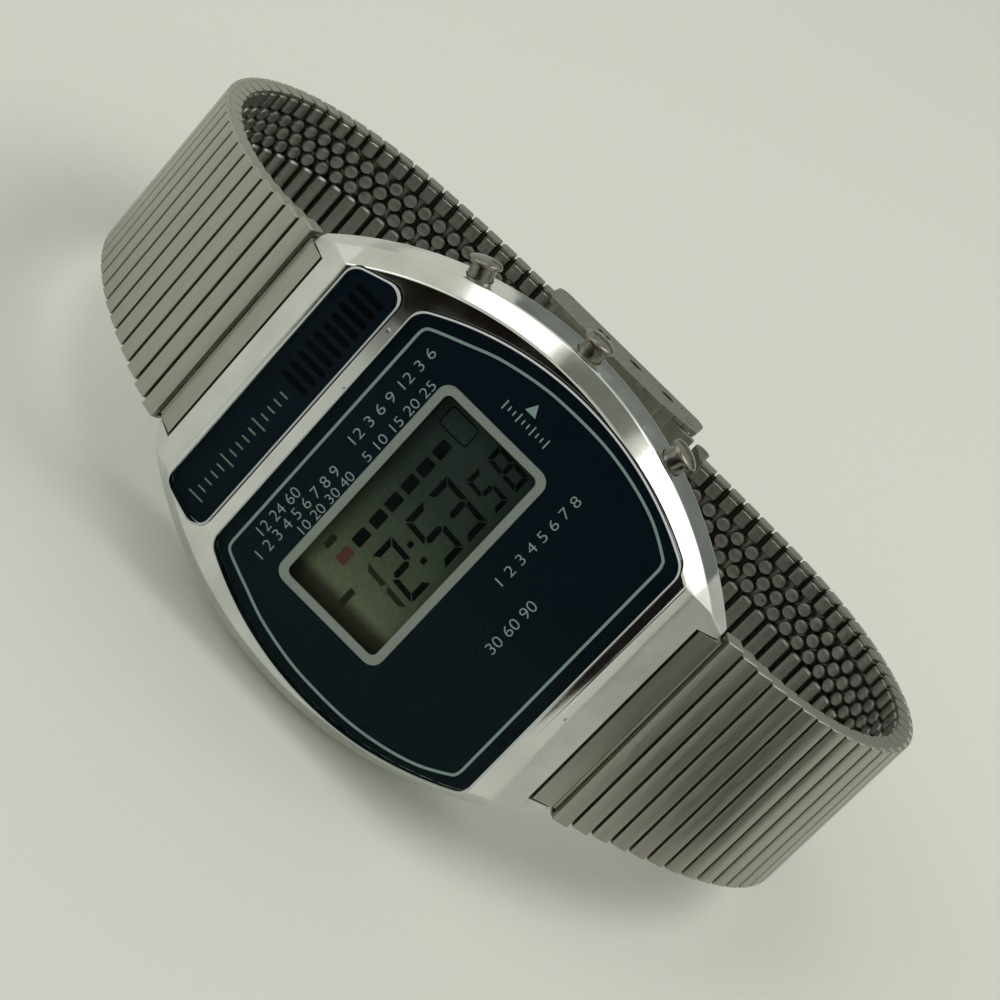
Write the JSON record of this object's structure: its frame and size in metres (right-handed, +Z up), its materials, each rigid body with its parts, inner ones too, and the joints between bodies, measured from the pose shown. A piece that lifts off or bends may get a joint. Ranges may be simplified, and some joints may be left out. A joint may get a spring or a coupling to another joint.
{
  "type": "digital watch",
  "caption": "Digital alarm watch with chromed barrel case, dark glasses, side pushers and tapering steel link bracelet closed by a folding clasp",
  "frame": {"origin": "Centre of the bounding box in plan, on the floor the watch lies on", "axes": "X along the loop's length, from 12 o'clock (-X) to 6 o'clock (+X); -Y is the side the glass faces, leaning up by 13.3 degrees; Z up, from the 9 o'clock flank to the pushers"},
  "size_m": [0.0693, 0.0452, 0.0341],
  "materials": {
    "chrome": "polished",
    "bracelet_steel": "satin",
    "plain_steel": "satin",
    "crystal": "clear",
    "film": "gloss",
    "frame_silver": "satin",
    "lcd": "matte",
    "reflector": "matte",
    "rubber_black": "matte",
    "conductive_rubber": "matte",
    "module_resin": "matte",
    "board_green": "matte",
    "chip_black": "matte",
    "can_metal": "satin",
    "brass": "satin",
    "lamp_glass": "clear"
  },
  "bodies": {
    "case": {"case_middle": "chrome", "main_crystal": "crystal", "upper_crystal": "crystal", "dial_film": "film", "upper_film": "film", "display_frame": "frame_silver", "lcd_cell": "lcd", "lcd_reflector": "reflector", "contact_strips": "conductive_rubber", "module_frame": "module_resin", "circuit_board": "board_green", "driver_chip": "chip_black", "quartz_can": "can_metal", "trimmer": "brass", "backlight_lamp": "lamp_glass", "battery": "can_metal", "battery_clip": "brass", "piezo_disc": "brass", "piezo_spring": "brass", "button_contacts": "brass", "case_back": "plain_steel", "back_gasket": "rubber_black", "back_screws": "plain_steel", "pusher_seals": "rubber_black", "pusher_spring_upper": "plain_steel", "pusher_spring_middle": "plain_steel", "pusher_spring_lower": "plain_steel", "spring_bar_12": "plain_steel", "spring_bar_6": "plain_steel"},
    "pusher_upper": {"pusher_upper": "chrome"},
    "pusher_middle": {"pusher_middle": "chrome"},
    "pusher_lower": {"pusher_lower": "chrome"},
    "link_12": {"end_link_12": "bracelet_steel"},
    "strap_12_1": {"strap_12_1": "bracelet_steel"},
    "strap_12_2": {"strap_12_2": "bracelet_steel"},
    "strap_12_3": {"strap_12_3": "bracelet_steel"},
    "strap_12_4": {"strap_12_4": "bracelet_steel"},
    "strap_12_5": {"strap_12_5": "bracelet_steel"},
    "strap_12_6": {"strap_12_6": "bracelet_steel"},
    "strap_12_7": {"strap_12_7": "bracelet_steel", "clasp_spring_bar": "plain_steel"},
    "link_6": {"end_link_6": "bracelet_steel"},
    "strap_6_1": {"strap_6_1": "bracelet_steel"},
    "strap_6_2": {"strap_6_2": "bracelet_steel"},
    "strap_6_3": {"strap_6_3": "bracelet_steel"},
    "strap_6_4": {"strap_6_4": "bracelet_steel"},
    "strap_6_5": {"strap_6_5": "bracelet_steel"},
    "strap_6_6": {"strap_6_6": "bracelet_steel"},
    "strap_6_7": {"strap_6_7": "bracelet_steel", "strap_end_pin": "plain_steel"},
    "clasp_cover": {"clasp_cover": "bracelet_steel", "clasp_hinge_pin": "plain_steel"},
    "middle_blade": {"middle_blade": "bracelet_steel", "blade_hinge_pin": "plain_steel"},
    "inner_blade": {"inner_blade": "bracelet_steel"}
  },
  "joints": [
    {"name": "press_upper", "type": "slide", "parent": "case", "child": "pusher_upper", "axis": [0.3223, -0.2171, -0.9214], "range_m": [0, 0.0007], "stiffness_N_per_m": 400, "springref_m": -0.0004, "deforming": ["pusher_spring_upper"]},
    {"name": "press_middle", "type": "slide", "parent": "case", "child": "pusher_middle", "axis": [0.007, -0.2293, -0.9733], "range_m": [0, 0.0007], "stiffness_N_per_m": 400, "springref_m": -0.0004, "deforming": ["pusher_spring_middle"]},
    {"name": "press_lower", "type": "slide", "parent": "case", "child": "pusher_lower", "axis": [-0.309, -0.2181, -0.9257], "range_m": [0, 0.0007], "stiffness_N_per_m": 400, "springref_m": -0.0004, "deforming": ["pusher_spring_lower"]},
    {"name": "link_12_turn", "type": "hinge", "parent": "case", "child": "link_12", "pos_m": [-0.01764, -0.01546, 0.01613], "axis": [0, 0.2293, 0.9734], "range_deg": [0, 5]},
    {"name": "bend_12_1", "type": "hinge", "parent": "link_12", "child": "strap_12_1", "pos_m": [-0.01885, -0.01567, 0.01618], "axis": [0, 0.2293, 0.9734], "range_deg": [0, 18]},
    {"name": "bend_12_2", "type": "hinge", "parent": "strap_12_1", "child": "strap_12_2", "pos_m": [-0.02686, -0.01098, 0.01507], "axis": [0, 0.2293, 0.9734], "range_deg": [0, 18]},
    {"name": "bend_12_3", "type": "hinge", "parent": "strap_12_2", "child": "strap_12_3", "pos_m": [-0.03243, -0.00373, 0.01337], "axis": [0, 0.2293, 0.9734], "range_deg": [0, 18]},
    {"name": "bend_12_4", "type": "hinge", "parent": "strap_12_3", "child": "strap_12_4", "pos_m": [-0.03384, 0.00515, 0.01127], "axis": [0, 0.2293, 0.9734], "range_deg": [0, 18]},
    {"name": "bend_12_5", "type": "hinge", "parent": "strap_12_4", "child": "strap_12_5", "pos_m": [-0.03006, 0.01331, 0.00935], "axis": [0, 0.2293, 0.9734], "range_deg": [0, 18]},
    {"name": "bend_12_6", "type": "hinge", "parent": "strap_12_5", "child": "strap_12_6", "pos_m": [-0.02223, 0.01802, 0.00824], "axis": [0, 0.2293, 0.9734], "range_deg": [0, 18]},
    {"name": "bend_12_7", "type": "hinge", "parent": "strap_12_6", "child": "strap_12_7", "pos_m": [-0.01293, 0.01938, 0.00792], "axis": [0, 0.2293, 0.9734], "range_deg": [0, 18]},
    {"name": "link_6_turn", "type": "hinge", "parent": "case", "child": "link_6", "pos_m": [0.01836, -0.01546, 0.01613], "axis": [0, -0.2293, -0.9734], "range_deg": [0, 5]},
    {"name": "bend_6_1", "type": "hinge", "parent": "link_6", "child": "strap_6_1", "pos_m": [0.01954, -0.01568, 0.01618], "axis": [0, -0.2293, -0.9734], "range_deg": [0, 18]},
    {"name": "bend_6_2", "type": "hinge", "parent": "strap_6_1", "child": "strap_6_2", "pos_m": [0.02628, -0.01174, 0.01525], "axis": [0, -0.2293, -0.9734], "range_deg": [0, 18]},
    {"name": "bend_6_3", "type": "hinge", "parent": "strap_6_2", "child": "strap_6_3", "pos_m": [0.03172, -0.00636, 0.01398], "axis": [0, -0.2293, -0.9734], "range_deg": [0, 18]},
    {"name": "bend_6_4", "type": "hinge", "parent": "strap_6_3", "child": "strap_6_4", "pos_m": [0.03396, 0.00078, 0.0123], "axis": [0, -0.2293, -0.9734], "range_deg": [0, 18]},
    {"name": "bend_6_5", "type": "hinge", "parent": "strap_6_4", "child": "strap_6_5", "pos_m": [0.03185, 0.00793, 0.01062], "axis": [0, -0.2293, -0.9734], "range_deg": [0, 18]},
    {"name": "bend_6_6", "type": "hinge", "parent": "strap_6_5", "child": "strap_6_6", "pos_m": [0.02614, 0.01293, 0.00944], "axis": [0, -0.2293, -0.9734], "range_deg": [0, 18]},
    {"name": "bend_6_7", "type": "hinge", "parent": "strap_6_6", "child": "strap_6_7", "pos_m": [0.01867, 0.01495, 0.00896], "axis": [0, -0.2293, -0.9734], "range_deg": [0, 18]},
    {"name": "cover_turn", "type": "hinge", "parent": "strap_12_7", "child": "clasp_cover", "pos_m": [-0.00354, 0.01946, 0.0079], "axis": [0, 0.2293, 0.9734], "range_deg": [0, 1.5]},
    {"name": "middle_blade_turn", "type": "hinge", "parent": "clasp_cover", "child": "middle_blade", "pos_m": [0.00626, 0.01854, 0.00812], "axis": [0, 0.2293, 0.9734], "range_deg": [0, 100]},
    {"name": "inner_blade_turn", "type": "hinge", "parent": "middle_blade", "child": "inner_blade", "pos_m": [-0.00764, 0.0179, 0.00827], "axis": [0, -0.2293, -0.9734], "range_deg": [0, 160]}
  ]
}
